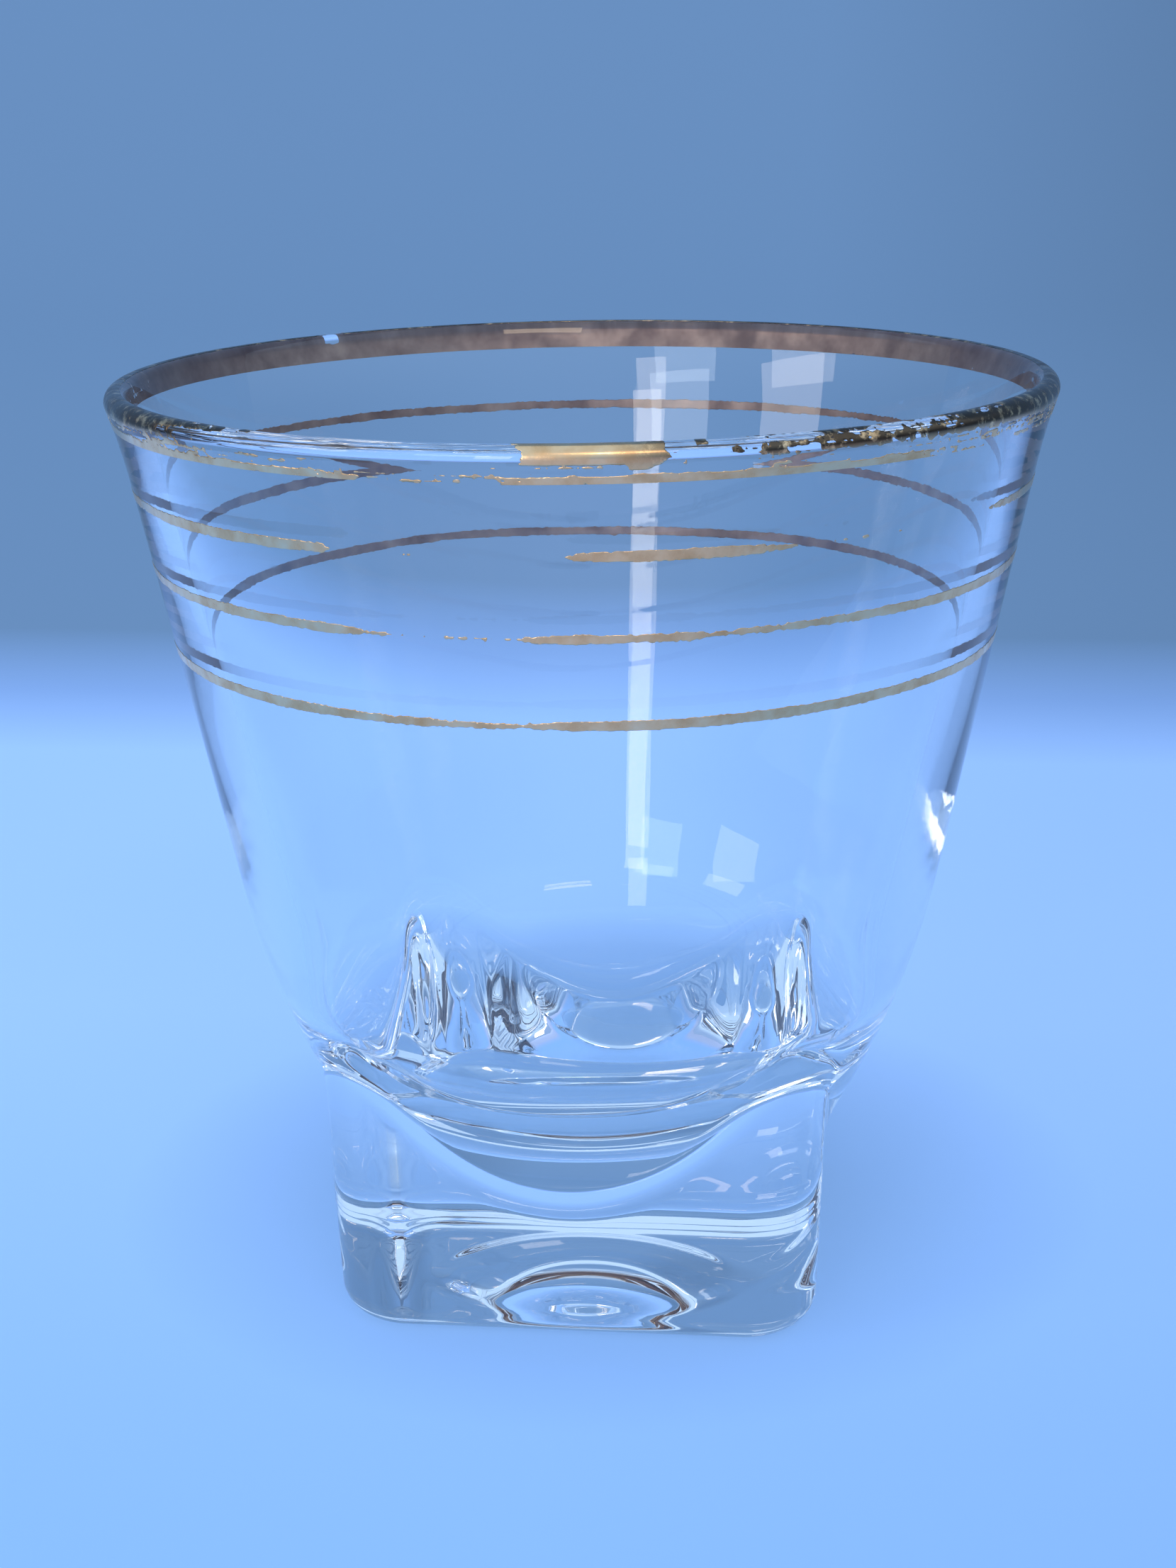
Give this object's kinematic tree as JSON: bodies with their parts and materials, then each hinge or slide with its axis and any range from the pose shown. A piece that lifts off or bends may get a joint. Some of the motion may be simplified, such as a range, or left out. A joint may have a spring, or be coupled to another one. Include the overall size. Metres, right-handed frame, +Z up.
{
  "type": "shot glass",
  "caption": "Clear shot glass with a flared round cup on a heavy square foot, a worn gilded rim and thin worn gold bands round the wall.",
  "frame": {"origin": "middle of the square foot's underside, on the plane that it stands on", "axes": "+Z up along the glass's axis of revolution; the foot's flats face +X, -X, +Y and -Y"},
  "size_m": [0.052, 0.052, 0.0524],
  "materials": {
    "clear_glass": "clear pressed glass, bright, with fine wear",
    "gold": "thin fired gold, satin, worn"
  },
  "bodies": {
    "root": {"glass_body": "clear_glass", "rim_gilding": "gold", "upper_band": "gold", "middle_band": "gold", "lower_band": "gold"}
  },
  "joints": []
}
